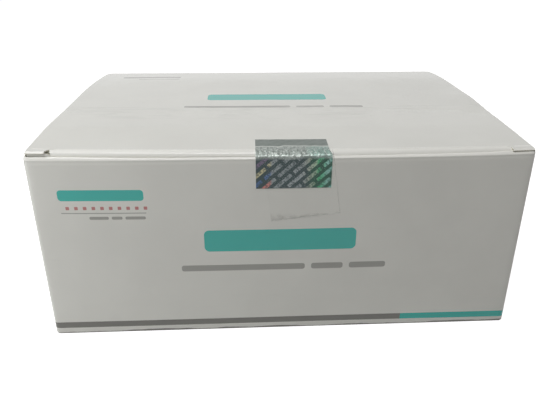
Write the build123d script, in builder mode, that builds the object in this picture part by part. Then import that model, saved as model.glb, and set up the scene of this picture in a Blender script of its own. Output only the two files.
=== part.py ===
from build123d import *
import os
from math import acos, atan2, cos, degrees, hypot, radians, sin, tan

# A closed folding carton for rapid test kits, with a slit-locked tuck lid and a snap-lock bottom.
# A foil seal runs over the lid's front fold, and a piece of clear tape over the seal.
# The origin is the middle of the bottom. X runs along the front, Y from front to rear, Z up.

# Carton, in millimetres
width = 200.0            # over the upright folds
depth = 145.0
wall_height = 82.4       # crest of the front wall
board = 0.6              # thickness of the board
corner_fold = 2.0        # outer radius of the upright folds
bottom_fold = 1.2        # outer radius where the walls turn under the box
side_bow = 1.5           # how far the packed contents push each side wall out

# Front wall's pressed lip and the gap behind it
lip_radius = 1.8
lip_lean = 45.0          # degrees by which the lip turns inwards
lip_clearance = 0.3      # between the lip and the tuck flap
seam_depth = 8.0         # how deep the gap behind the front wall is open

# Lid: it lies higher on the left, and the contents press up a flat crown in its middle
lid_inset = 1.0          # of the lid's cut side edges from the side walls
lid_gap_left = 1.5       # under the lid, over the dust flap, at the front fold
lid_gap_right = 0.25
tuck_fold = 2.1          # outer radius of the fold between lid and tuck flap
facet_tilt = 2.6         # degrees by which the front strip of the lid slopes down to the fold
ridge_setback = 29.0     # crease of the lid behind the front wall
crown_setback = 30.0     # where the lid starts down to its hinge, before the rear wall
crown_rise_left = 0.1    # of the crown's rear over its front
crown_rise_right = 1.0
hinge_fold = 1.0         # outer radius of the fold between rear wall and lid
hinge_rise = 1.1         # of the hinge over the front wall's crest
dust_flap_slope = 30.0   # width over which each dust flap rises to the lid
dust_flap_gap = 0.3      # left between lid and dust flap at its inner edge

# Slit locks at both front corners of the lid
slit_length = 9.0        # from the lid's side edge
slit_notch = 1.6         # width of the cut at the slit's end
tab_bend = 10.0          # length of the lid's corner that springs up
tab_lift = 0.8
tab_setback = 0.3        # of the corner's cut edge from the front wall's face
shoulder_length = 6.5    # of the tuck flap's shoulder beyond the slit's end

# Glued joint in the rear wall, at the left
joint_gap = 0.3

# Snap-lock bottom
bottom_rim = 3.0         # strip along each wall that the folded flaps leave
front_flap_reach = 60.0  # of the outer flap's shoulders, from the front wall
tongue_reach = 18.0      # of its tongue beyond the shoulders
tongue_width = 104.0
tongue_taper = 5.0
tongue_dip = 8.0         # length over which the tongue bends into the slot
side_flap_reach = 62.0   # of the two side flaps under the box
side_flap_bevel = 50.0   # how far their edge slopes from the rear wall

# Foil seal over the seam
foil = 0.1
glue_line = 0.03
seal_width = 29.6
seal_offset = 3.2        # of the seal's middle to the right of the carton's
seal_on_lid = 12.1       # from the front wall's face to the seal's rear edge
seal_on_wall = 13.4      # from the crest of the front wall to the seal's lower edge

# Clear tape over the seal
tape_thickness = 0.06
tape_width = 28.0
tape_turn = 8.5          # degrees off the upright
tear_slope = 2.5         # degrees by which the torn edge is off square
tape_offset = 4.4        # of the tape's middle to the right of the carton's, at the seam
tape_on_wall = 27.0      # from the crest of the front wall to the torn edge
tape_start = 15.0        # degrees round the tuck fold at which the tape begins
tape_tooth = 1.4         # pitch of the torn edge
tape_tooth_depth = 0.7

left, right = -width / 2, width / 2
front, rear = -depth / 2, depth / 2
lid_half = width / 2 - lid_inset
slit_end = lid_half - slit_length

# The lip is the last stretch of a round edge, so its circle stands on the wall's face.
lip_center = (front + lip_radius, wall_height - lip_radius * sin(radians(lip_lean)))
lip_reach = lip_radius - (lip_radius - board) * cos(radians(lip_lean))
blank_height = lip_center[1] + lip_radius

# The tuck flap stands just behind the lip.
tuck_face = front + lip_reach + lip_clearance
fold_y = tuck_face + tuck_fold
ridge_y = front + ridge_setback
crown_y = rear - crown_setback
hinge_height = wall_height + hinge_rise
lid_root = wall_height - seam_depth


def between(x, at_left, at_right):
    """A value that changes evenly from the lid's left edge to its right one."""
    return at_left + (at_right - at_left) * (x + lid_half) / (2 * lid_half)


def fold_center(x):
    """Height of the tuck fold's centre line."""
    fold_top = wall_height + board + between(x, lid_gap_left, lid_gap_right)
    return fold_top - tuck_fold * cos(radians(facet_tilt))


def facet_height(x, y):
    """Top of the lid's front strip, which slopes down to the tuck fold."""
    slope = tan(radians(facet_tilt))
    return fold_center(x) + tuck_fold / cos(radians(facet_tilt)) + (y - fold_y) * slope


def crown_height(x):
    """Top of the lid where it starts down to the hinge."""
    return facet_height(x, ridge_y) + between(x, crown_rise_left, crown_rise_right)


# Outline of the walls from above, with the side walls pushed out
with BuildSketch() as plan:
    with BuildLine():
        Line((left, front), (right, front))
        ThreePointArc((right, front), (right + side_bow, 0), (right, rear))
        Line((right, rear), (left, rear))
        ThreePointArc((left, rear), (left - side_bow, 0), (left, front))
    make_face()
    fillet(plan.vertices(), corner_fold)

# Lid from its hinge to the tuck flap, drawn at its two side edges, and cut to the walls' outline
with BuildPart() as lid:
    for x in (-lid_half, lid_half):
        with BuildSketch(Plane.YZ.offset(x)):
            with BuildLine():
                tuck_arc = CenterArc((fold_y, fold_center(x)), tuck_fold, 180, facet_tilt - 90)
                hinge_center = (rear - hinge_fold, hinge_height - hinge_fold)
                hinge_arc = CenterArc(hinge_center, hinge_fold, 90, -90)
                Polyline(
                    tuck_arc @ 1,
                    (ridge_y, facet_height(x, ridge_y)),
                    (crown_y, crown_height(x)),
                    hinge_arc @ 0,
                )
                Polyline(hinge_arc @ 1, (rear, lid_root), (tuck_face, lid_root), tuck_arc @ 0)
            make_face()
    loft(ruled=True)
    add(plan.sketch)
    extrude(amount=2 * wall_height, mode=Mode.INTERSECT)

# Carton: the whole blank, folded, glued and closed
with BuildPart() as carton:
    # Walls, with the round edge that the front wall's lip and the side folds keep
    add(plan.sketch)
    extrude(amount=blank_height)
    fillet(carton.edges().group_by(Axis.Z)[-1], lip_radius)
    fillet(carton.edges().group_by(Axis.Z)[0], bottom_fold)
    split(bisect_by=Plane.XY.offset(wall_height), keep=Keep.BOTTOM)

    add(lid.part)

    # Gap between the lid and each dust flap, which rises to the lid inwards
    for side in (-1, 1):
        for x, at_edge in ((side * (lid_half - dust_flap_slope), False), (side * (lid_half + board), True)):
            lid_line = [
                (fold_y, facet_height(x, fold_y) - board),
                (ridge_y, facet_height(x, ridge_y) - board),
                (crown_y, crown_height(x) - board),
                (rear - hinge_fold, hinge_height - board),
            ]
            flap_line = [(y, wall_height if at_edge else z - dust_flap_gap) for y, z in lid_line]
            with BuildSketch(Plane.YZ.offset(x)):
                with BuildLine():
                    Polyline(*lid_line, *reversed(flap_line), close=True)
                make_face()
        loft(ruled=True, mode=Mode.SUBTRACT)

    # Slit locks: each front corner of the lid is cut free of the fold and springs up
    for side in (-1, 1):
        corner_middle = side * (slit_end + right) / 2
        bend_y = fold_y + tab_bend
        with BuildSketch(Plane.XY.offset(wall_height)):
            with Locations((corner_middle, (front + bend_y) / 2)):
                Rectangle(right - slit_end, bend_y - front)
        extrude(amount=tuck_fold + 2 * board + lid_gap_left, mode=Mode.SUBTRACT)
        for x, lift in ((side * slit_end, 0.0), (side * lid_half, tab_lift)):
            tab_front = front + tab_setback
            edge_top = facet_height(x, tab_front) + lift
            bend_top = facet_height(x, bend_y)
            with BuildSketch(Plane.YZ.offset(x)):
                with BuildLine():
                    Polyline(
                        (tab_front, edge_top),
                        (bend_y, bend_top),
                        (bend_y, bend_top - board),
                        (tab_front, edge_top - board),
                        close=True,
                    )
                make_face()
        loft(ruled=True)

    # Notch where each slit ends in a slanted cut
    with BuildSketch(Plane.XY.offset(wall_height)):
        for side in (-1, 1):
            with BuildLine():
                Polyline(
                    (side * slit_end, fold_y),
                    (side * (slit_end + slit_notch), front + tab_setback / 2),
                    (side * (slit_end - slit_notch / 2), front + tab_setback / 2),
                    close=True,
                )
            make_face()
    extrude(amount=tuck_fold + 2 * board + lid_gap_left, mode=Mode.SUBTRACT)

    # Pocket under each corner, behind the tuck flap's shoulder
    for side in (-1, 1):
        pocket_end = right - board
        with BuildSketch(Plane.XY.offset(wall_height)):
            with Locations((side * (slit_end + pocket_end) / 2, (tuck_face + board + fold_y + tab_bend) / 2)):
                Rectangle(pocket_end - slit_end, fold_y + tab_bend - tuck_face - board)
            shoulder_end = slit_end + shoulder_length
            with Locations((side * (shoulder_end + right - corner_fold) / 2, tuck_face + board / 2)):
                Rectangle(right - corner_fold - shoulder_end, board)
        extrude(amount=-seam_depth, mode=Mode.SUBTRACT)

    # Seam behind the front wall, under its leaning lip
    with BuildSketch(Plane.YZ):
        with BuildLine():
            inner_arc = CenterArc(lip_center, lip_radius - board, 180, -lip_lean)
            lip_crest = (lip_center[0] - lip_radius * cos(radians(lip_lean)), wall_height)
            Polyline(
                inner_arc @ 1,
                lip_crest,
                (tuck_face, wall_height),
                (tuck_face, lid_root),
                (front + board, lid_root),
                inner_arc @ 0,
            )
        make_face()
    extrude(amount=right - corner_fold, both=True, mode=Mode.SUBTRACT)

    # Upright cut edge of the glued joint in the rear wall
    with BuildSketch(Plane.XY.offset(bottom_fold)):
        with Locations((left + corner_fold + joint_gap, rear)):
            Rectangle(joint_gap, 2 * board)
    extrude(amount=lid_root - bottom_fold, mode=Mode.SUBTRACT)

    # Snap-lock bottom: side flaps one board inside the outer flap, the rear flap two boards inside
    floor_x, floor_rear, floor_front = right - bottom_rim, rear - bottom_rim, front + bottom_rim
    shoulder_y = front + front_flap_reach
    tongue_y = shoulder_y + tongue_reach
    tongue_x = tongue_width / 2
    tongue_tip_x = tongue_x - tongue_taper
    side_flap_x = right - side_flap_reach
    with BuildSketch(Plane.XY):
        with BuildLine():
            Polyline(
                (-floor_x, floor_front),
                (-floor_x + board, shoulder_y),
                (-tongue_x, shoulder_y),
                (-tongue_tip_x, tongue_y),
                (tongue_tip_x, tongue_y),
                (tongue_x, shoulder_y),
                (floor_x - board, shoulder_y),
                (floor_x, floor_front),
                (floor_x, floor_rear),
                (-floor_x, floor_rear),
                close=True,
            )
        make_face()
    extrude(amount=board, mode=Mode.SUBTRACT)
    with BuildSketch(Plane.XY):
        with BuildLine():
            Polyline(
                (-side_flap_x, tongue_y),
                (side_flap_x, tongue_y),
                (side_flap_x, rear - side_flap_bevel),
                (floor_x, floor_rear),
                (-floor_x, floor_rear),
                (-side_flap_x, rear - side_flap_bevel),
                close=True,
            )
        make_face()
    extrude(amount=2 * board, mode=Mode.SUBTRACT)
    with BuildSketch(Plane.YZ):
        with BuildLine():
            Polyline((tongue_y - tongue_dip, 0), (tongue_y, 0), (tongue_y, 3 * board), close=True)
        make_face()
    extrude(amount=tongue_tip_x, both=True, mode=Mode.SUBTRACT)

carton.part.label = "carton"


def tangent_turn(x, clear):
    """Degrees round the tuck fold at which a strip leaves it, taut to the lip's crest."""
    crest_y = lip_center[0] - (lip_radius + clear) * cos(radians(lip_lean))
    crest_z = lip_center[1] + (lip_radius + clear) * sin(radians(lip_lean))
    across, up = fold_y - crest_y, crest_z - fold_center(x)
    return degrees(atan2(up, across) + acos((tuck_fold + clear) / hypot(across, up)))


# Foil seal: from the lid over the fold, across the seam and down the front wall
with BuildPart() as tamper_seal:
    for x in (seal_offset - seal_width / 2, seal_offset + seal_width / 2):
        with BuildSketch(Plane.YZ.offset(x)):
            with BuildLine():
                ends = []
                for clear in (glue_line, glue_line + foil):
                    turn = tangent_turn(x, clear)
                    fold_arc = CenterArc(
                        (fold_y, fold_center(x)), tuck_fold + clear, 90 + facet_tilt, 90 - facet_tilt - turn
                    )
                    lip_arc = CenterArc(lip_center, lip_radius + clear, 180 - lip_lean, lip_lean)
                    lid_y = front + seal_on_lid
                    lid_end = (lid_y, facet_height(x, lid_y) + clear / cos(radians(facet_tilt)))
                    wall_end = (front - clear, wall_height - seal_on_wall)
                    Line(lid_end, fold_arc @ 0)
                    Line(fold_arc @ 1, lip_arc @ 0)
                    Line(lip_arc @ 1, wall_end)
                    ends.append((lid_end, wall_end))
                Line(ends[0][0], ends[1][0])
                Line(ends[0][1], ends[1][1])
            make_face()
    loft(ruled=True)

tamper_seal.part.label = "tamper_seal"

# Clear tape: the same path outside the seal, cut to a slanted strip with a toothed end
with BuildPart() as clear_tape:
    under_tape = 2 * glue_line + foil
    for x in (tape_offset - tape_width, tape_offset + tape_width):
        with BuildSketch(Plane.YZ.offset(x)):
            with BuildLine():
                ends = []
                for clear in (under_tape, under_tape + tape_thickness):
                    turn = tangent_turn(x, clear)
                    start = 90 + tape_start
                    fold_arc = CenterArc(
                        (fold_y, fold_center(x)), tuck_fold + clear, start, 180 - start - turn
                    )
                    lip_arc = CenterArc(lip_center, lip_radius + clear, 180 - lip_lean, lip_lean)
                    wall_end = (front - clear, wall_height - 2 * tape_on_wall)
                    Line(fold_arc @ 1, lip_arc @ 0)
                    Line(lip_arc @ 1, wall_end)
                    ends.append((fold_arc @ 0, wall_end))
                Line(ends[0][0], ends[1][0])
                Line(ends[0][1], ends[1][1])
            make_face()
    loft(ruled=True)
    tooth_count = round(tape_width / tape_tooth)
    torn_edge = []
    for i in range(2 * tooth_count + 1):
        across = tape_width * (i / (2 * tooth_count) - 0.5)
        tooth = tape_tooth_depth * (i % 2)
        torn_edge.append((across, tooth - tape_on_wall - across * tan(radians(tear_slope))))
    turned_x = (cos(radians(tape_turn)), 0, sin(radians(tape_turn)))
    with BuildSketch(Plane(origin=(tape_offset, front, wall_height), x_dir=turned_x, z_dir=(0, -1, 0))):
        with BuildLine():
            Polyline(*torn_edge, (tape_width / 2, tape_on_wall), (-tape_width / 2, tape_on_wall), close=True)
        make_face()
    extrude(amount=2 * tuck_fold + lip_reach, both=True, mode=Mode.INTERSECT)

clear_tape.part.label = "clear_tape"

os.makedirs("parts", exist_ok=True)
export_step(carton.part, "parts/carton.step")
export_step(tamper_seal.part, "parts/tamper_seal.step")
export_step(clear_tape.part, "parts/clear_tape.step")
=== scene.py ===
"""A sealed folding carton for rapid test kits: its folded board blank, the foil seal over the front
seam and the clear tape over the seal, dressed around the packed solids and set on a pale floor.
Lengths are in metres. X runs along the front, Y from front to rear and Z up."""

import math

import bmesh
import bpy
from bpy.props import FloatProperty, FloatVectorProperty, PointerProperty
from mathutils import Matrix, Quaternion, Vector, noise


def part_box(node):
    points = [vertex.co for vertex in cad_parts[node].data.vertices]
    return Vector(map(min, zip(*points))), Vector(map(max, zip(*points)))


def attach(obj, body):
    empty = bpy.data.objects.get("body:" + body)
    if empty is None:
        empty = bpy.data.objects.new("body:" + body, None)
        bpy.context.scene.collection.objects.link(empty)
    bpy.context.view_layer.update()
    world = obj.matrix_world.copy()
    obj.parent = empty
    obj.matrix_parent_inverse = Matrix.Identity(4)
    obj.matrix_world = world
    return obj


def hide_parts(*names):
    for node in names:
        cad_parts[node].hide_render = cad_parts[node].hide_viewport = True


bl_info = {
    "name": "Test Kit Carton",
    "version": (1, 0, 0),
    "blender": (4, 5, 0),
    "location": "View3D > Sidebar > Carton",
    "description": "Builds a closed folding carton with a foil seal and clear tape",
    "category": "Add Mesh",
}

MM = 0.001
BODY = "root"

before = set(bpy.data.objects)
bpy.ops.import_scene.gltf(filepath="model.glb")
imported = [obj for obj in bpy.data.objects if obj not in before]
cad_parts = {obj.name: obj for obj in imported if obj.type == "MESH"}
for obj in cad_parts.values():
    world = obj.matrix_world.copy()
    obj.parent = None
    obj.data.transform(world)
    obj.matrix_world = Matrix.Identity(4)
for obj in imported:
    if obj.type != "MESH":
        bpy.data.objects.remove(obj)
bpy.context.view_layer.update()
carton_low, carton_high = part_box("carton")
seal_low, seal_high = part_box("tamper_seal")

# Angles at which a fold through a right angle is drawn
QUARTER_TURN = [math.pi / 2 * i / 5 for i in range(6)]

# How much the coating is worn at each fold, from 0 to 1. Worn places are whitened past the board's
# own white, which on the lip, the tuck fold and the lid's crease is also a painted highlight
WEAR_AND_HIGHLIGHT = {
    "lip": 0.8, "tuck fold": 0.8, "hinge": 0.75, "dust flap": 0.6, "crease": 0.35,
    "rear wall": 0.2,
}

# Strength of each ink, then its bars on the front wall and on the lid. A bar is its left, right,
# low and high side and its corner radius, in millimetres; on the lid low is towards the front.
PRINTED_BARS = {
    "teal": (
        0.96,
        [(-33.0, 29.5, 40.6, 50.6, 2.2), (-89.0, -55.6, 64.3, 69.0, 1.4)],
        [(-34.5, 25.0, -1.5, 9.5, 2.2)],
    ),
    "grey": (
        0.7,
        [
            (-43.0, 8.5, 31.2, 34.0, 1.0), (11.2, 24.6, 31.2, 34.0, 1.0),
            (27.3, 42.8, 31.2, 34.0, 1.0), (-88.6, -55.2, 58.75, 59.1, 0.1),
            (-77.8, -70.2, 56.1, 57.4, 0.5), (-69.0, -64.8, 56.1, 57.4, 0.5),
            (-63.6, -55.6, 56.1, 57.4, 0.5),
        ],
        [
            (-44.6, 6.0, -15.2, -12.2, 1.0), (8.7, 22.2, -15.2, -12.2, 1.0),
            (24.9, 41.0, -15.2, -12.2, 1.0), (-86.0, -53.0, 50.5, 55.0, 1.4),
            (-76.0, -53.0, 45.2, 46.4, 0.5),
        ],
    ),
    "red": (0.85, [(-86.6 + 3.4 * i, -85.2 + 3.4 * i, 60.4, 61.8, 0.2) for i in range(10)], []),
}

# Pitch and offset of the seal's rows of dashes, in millimetres, and their colours: along the foil
# to its right edge, and row by row at its left one, each with its place on a colour ramp
DASH_ROW, DASH_START = 2.9, -0.85
RIGHT_HUES = (
    (0.0, (0.2, 0.225, 0.23)), (0.2, (0.25, 0.28, 0.23)), (0.5, (0.26, 0.34, 0.25)),
    (0.62, (0.06, 0.3, 0.14)), (0.8, (0.1, 0.32, 0.2)), (0.95, (0.18, 0.34, 0.3)),
)
LEFT_HUES = (
    (0.0, (0.15, 0.11, 0.17)), (0.4, (0.38, 0.35, 0.22)), (0.65, (0.07, 0.12, 0.24)),
    (0.9, (0.42, 0.17, 0.15)),
)

# Each lamp's name, place, width and height
LAMPS = (
    ("top", (-0.15, -0.32, 0.73), 0.6, 0.24),
    ("rear", (-0.28, 0.33, 0.6), 0.5, 0.3),
    ("side", (-0.24, -0.16, 0.07), 0.16, 0.14),
)


def a_length(name, description, millimetres):
    """A length that a user can change, in metres."""
    return FloatProperty(
        name=name, description=description, default=millimetres * MM, unit="LENGTH"
    )


def an_angle(name, description, degrees):
    """An angle that a user can change, in radians."""
    return FloatProperty(
        name=name, description=description, default=math.radians(degrees), subtype="ANGLE"
    )


def a_colour(name, description, default):
    """A colour that a user can change."""
    return FloatVectorProperty(
        name=name, description=description, default=default, subtype="COLOR", min=0, max=1
    )


class BlankSizes(bpy.types.PropertyGroup):
    """Sizes of the board blank and of its folds"""

    board: a_length("Board", "Thickness of the board", 0.6)
    wall_height: a_length("Wall height", "Crest of the front wall", 82.4)
    corner_fold: a_length("Corner fold", "Outer radius of the upright folds", 2)
    bottom_fold: a_length("Bottom fold", "Outer radius of the folds under the walls", 1.2)
    side_bow: a_length("Side bow", "How far the contents push each side wall out", 1.5)
    front_bow: a_length("Front bow", "How far the top of the front wall is pushed out", 2.5)
    lip_radius: a_length("Lip radius", "Outer radius of the front wall's pressed lip", 1.8)
    lip_lean: an_angle("Lip lean", "How far the lip turns inwards", 45)
    lip_clearance: a_length("Lip clearance", "Gap between the lip and the tuck flap", 0.3)
    lip_height: a_length("Lip height", "Of the front lip over its crease, at both ends", 1.5)
    lip_depth_left: a_length(
        "Left lip depth", "Of the lip's upper edge behind the wall's face, on the left", 0.95
    )
    lip_depth_right: a_length(
        "Right lip depth", "The same on the right, where the lip meets the tuck fold", 1.3
    )
    lip_drop: a_length("Lip drop", "How far the lid presses the middle of the lip down", 0.4)
    lip_spring: a_length("Lip spring", "How far the right end of the lip stands up", 0.35)
    lip_pinch: a_length(
        "Lip pinch", "How deep the front wall is pressed in under the lip's crease", 0.12
    )
    lip_bulge: a_length("Lip bulge", "How far the lip bulges between its crease and its edge", 0.12)
    tuck_fold: a_length("Tuck fold", "Outer radius of the fold between lid and tuck flap", 2.1)
    tuck_depth: a_length(
        "Tuck depth", "How far the tuck flap reaches below the front wall's crest", 16
    )
    lid_inset: a_length("Lid inset", "Of the lid's cut edges from the side walls", 1)
    lid_gap_left: a_length("Left gap", "Under the lid at its front fold, on the left", 1.5)
    lid_gap_right: a_length("Right gap", "Under the lid at its front fold, on the right", 0.25)
    facet_tilt: an_angle("Front strip tilt", "Slope of the lid's front strip down to the fold", 2.6)
    ridge_setback: a_length("Crease setback", "Of the lid's crease from the front wall", 29)
    crown_setback: a_length(
        "Crown setback", "Where the lid starts down to its hinge, before the rear wall", 30
    )
    crown_rise_left: a_length(
        "Left crown rise", "Of the crown's rear over its front, on the left", 0.1
    )
    crown_rise_right: a_length(
        "Right crown rise", "Of the crown's rear over its front, on the right", 1
    )
    hinge_fold: a_length("Hinge fold", "Outer radius of the fold between rear wall and lid", 1)
    hinge_rise: a_length("Hinge rise", "Of the hinge over the front wall's crest", 1.1)
    slit_length: a_length("Slit length", "From the lid's side edge", 9)
    slit_notch: a_length("Slit notch", "Width of the cut at the left slit's end", 1.6)
    closed_notch: a_length(
        "Closed notch", "Width of the right slit's cut, which is pressed shut", 0.12
    )
    tab_bend: a_length("Corner bend", "Length of the lid's corner that springs up", 10)
    tab_lift_left: a_length("Left corner lift", "How far the lid's left corner springs up", 0.36)
    tab_lift_right: a_length("Right corner lift", "How far the lid's right corner springs up", 0)
    tab_curl: a_length("Corner curl", "Extra lift of the left corner beside its notch", 0.45)
    tab_roll_left: a_length(
        "Left edge roll", "How far the left corner's cut edge is pressed down", 0.8
    )
    tab_roll_right: a_length(
        "Right edge roll", "How far the right corner's cut edge is pressed down", 0.52
    )
    tab_bevel: a_length("Edge roll width", "Of the pressed strip along a corner's cut edge", 0.9)
    tab_relief: a_length(
        "Corner relief", "How far the left corner is cut back from the lid's side edge", 0.6
    )
    tab_setback: a_length("Corner setback", "Of a corner's cut edge from the front wall", 0.3)
    shoulder_length: a_length(
        "Shoulder length", "Of the tuck flap's shoulder beyond the slit's end", 8.2
    )
    dust_flap_slope: a_length(
        "Dust flap slope", "Width over which each dust flap rises to the lid", 30
    )
    joint_gap: a_length("Glued joint gap", "Beside the cut edge of the rear wall", 0.3)
    front_flap_reach: a_length(
        "Front flap reach", "Of the outer bottom flap's shoulders, from the front wall", 60
    )
    tongue_reach: a_length("Tongue reach", "Of the tongue beyond the shoulders", 18)
    tongue_width: a_length("Tongue width", "Of the outer bottom flap's tongue", 104)
    side_flap_reach: a_length("Side flap reach", "Of the two side flaps under the box", 62)
    side_flap_bevel: a_length(
        "Side flap bevel", "How far a side flap's edge slopes from the rear wall", 50
    )
    rear_flap_reach: a_length("Rear flap reach", "Of the inner bottom flap, from the rear wall", 95)
    board_white: a_colour("Board white", "Coated outer face of the board", (0.845, 0.85, 0.797))
    board_core: a_colour("Board core", "Cut edges of the board", (0.86, 0.84, 0.71))
    board_inside: a_colour("Board inside", "Uncoated inner face of the board", (0.5, 0.47, 0.38))


class PrintColours(bpy.types.PropertyGroup):
    """Inks of the carton and the height of its foot band"""

    teal: a_colour(
        "Teal", "Ink of the headings and of the foot band's right end", (0.012, 0.5, 0.44)
    )
    grey: a_colour("Grey", "Ink of the foot band and of the small bars", (0.195, 0.195, 0.175))
    red: a_colour("Red", "Ink of the row of small squares", (0.5, 0.11, 0.11))
    band_low: a_length("Band foot", "Lower edge of the foot band", 3.4)
    band_high: a_length("Band top", "Upper edge of the foot band", 6.35)
    band_slip: a_length("Band slip", "How far the print runs down to the right end", 0.4)
    band_change: a_length("Band change", "Where the foot band turns from grey to teal", 52)


class FilmSizes(bpy.types.PropertyGroup):
    """Sizes and colours of the foil seal and of the clear tape"""

    foil: a_length("Foil", "Thickness of the seal", 0.1)
    tape: a_length("Tape", "Thickness of the tape", 0.06)
    glue_line: a_length("Glue line", "Under the seal and under the tape", 0.03)
    seal_on_lid: a_length(
        "Seal on lid", "From the square carton's front face to the seal's rear edge", 13.9
    )
    seal_skew: a_length("Seal skew", "How far the seal's right edge steps in over the fold", 0.85)
    tape_width: a_length("Tape width", "Of the clear tape", 28)
    tape_turn: an_angle("Tape turn", "Of the tape off the upright", 8.5)
    tear_slope: an_angle("Tear slope", "By which the torn edge is off square", 2.5)
    tape_offset: a_length("Tape offset", "Of the tape's middle from the carton's, at the seam", 4.4)
    tape_on_wall: a_length("Tape on wall", "From the front wall's crest to the torn edge", 27)
    tape_start: an_angle("Tape start", "Round the tuck fold, where the tape begins", 15)
    tooth_depth: a_length("Tooth depth", "Of the torn edge", 0.7)
    # The foil's grey over the lid and its dark ground on the wall are lit and shaded copies of one
    # foil: a painted reflection and painted shade
    foil_lit_grey: a_colour("Foil grey", "Foil where it shows plain", (0.15, 0.175, 0.16))
    foil_shaded_dark: a_colour("Foil dark", "Ground of the foil on the front wall", (0.04, 0.056, 0.058))
    tape_tint: a_colour("Tape tint", "Colour of the clear tape", (0.9, 0.9, 0.86))


class StageSettings(bpy.types.PropertyGroup):
    """Camera, lamps and floor"""

    camera_place: FloatVectorProperty(
        name="Camera", description="Where the camera stands", default=(-0.0135, -0.2766, 0.1569),
        subtype="TRANSLATION", unit="LENGTH",
    )
    camera_aim: FloatVectorProperty(
        name="Aim", description="What the camera looks at", default=(0.00126, -0.0135, 0.0358),
        subtype="TRANSLATION", unit="LENGTH",
    )
    camera_roll: FloatProperty(
        name="Roll", description="Of the camera about its own axis", default=0.0054, subtype="ANGLE"
    )
    focal_length: FloatProperty(
        name="Focal length", description="In millimetres, for a 36 mm wide picture", default=36.12,
        unit="CAMERA",
    )
    top_power: FloatProperty(
        name="Top lamp", description="Power of the large lamp over the carton", default=2.9,
        unit="POWER",
    )
    rear_power: FloatProperty(
        name="Rear lamp", description="Power of the lamp above the rear", default=0.78, unit="POWER"
    )
    side_power: FloatProperty(
        name="Side lamp", description="Power of the small lamp at the front left", default=0.105,
        unit="POWER",
    )
    sky: FloatProperty(name="Sky", description="Strength of the even light all round", default=0.1)
    sky_left: a_colour("Sky left", "Colour of the even light from the left", (1.0, 0.98, 0.94))
    sky_right: a_colour("Sky right", "Colour of the even light from the right", (0.6, 0.46, 0.4))
    floor_glow: FloatProperty(
        name="Floor glow", description="What the floor shows the camera over its own light",
        default=0.96,
    )
    floor_white: a_colour("Floor", "Colour of the floor", (0.57, 0.57, 0.57))


def between(start, end, share):
    """The value that lies at this share of the way from start to end."""
    return start + (end - start) * share


def steps(start, end, pitch):
    """Even steps from start to end, each about one pitch long."""
    count = max(1, round(abs(end - start) / pitch))
    return [between(start, end, i / count) for i in range(count + 1)]


def smooth(low, high, value):
    """0 up to low, 1 from high, and an even curve between them."""
    share = min(max((value - low) / (high - low), 0.0), 1.0)
    return share * share * (3 - 2 * share)


def bell(value, middle, spread):
    """1 at the middle, and fading to both sides."""
    return math.exp(-(((value - middle) / spread) ** 2))


def ripple(x, y, height, per_x, per_y, seed):
    """An uneven wave of this height, with this many swells a metre along x and along y."""
    return height * noise.noise(Vector((x * per_x, y * per_y, seed)))


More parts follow.
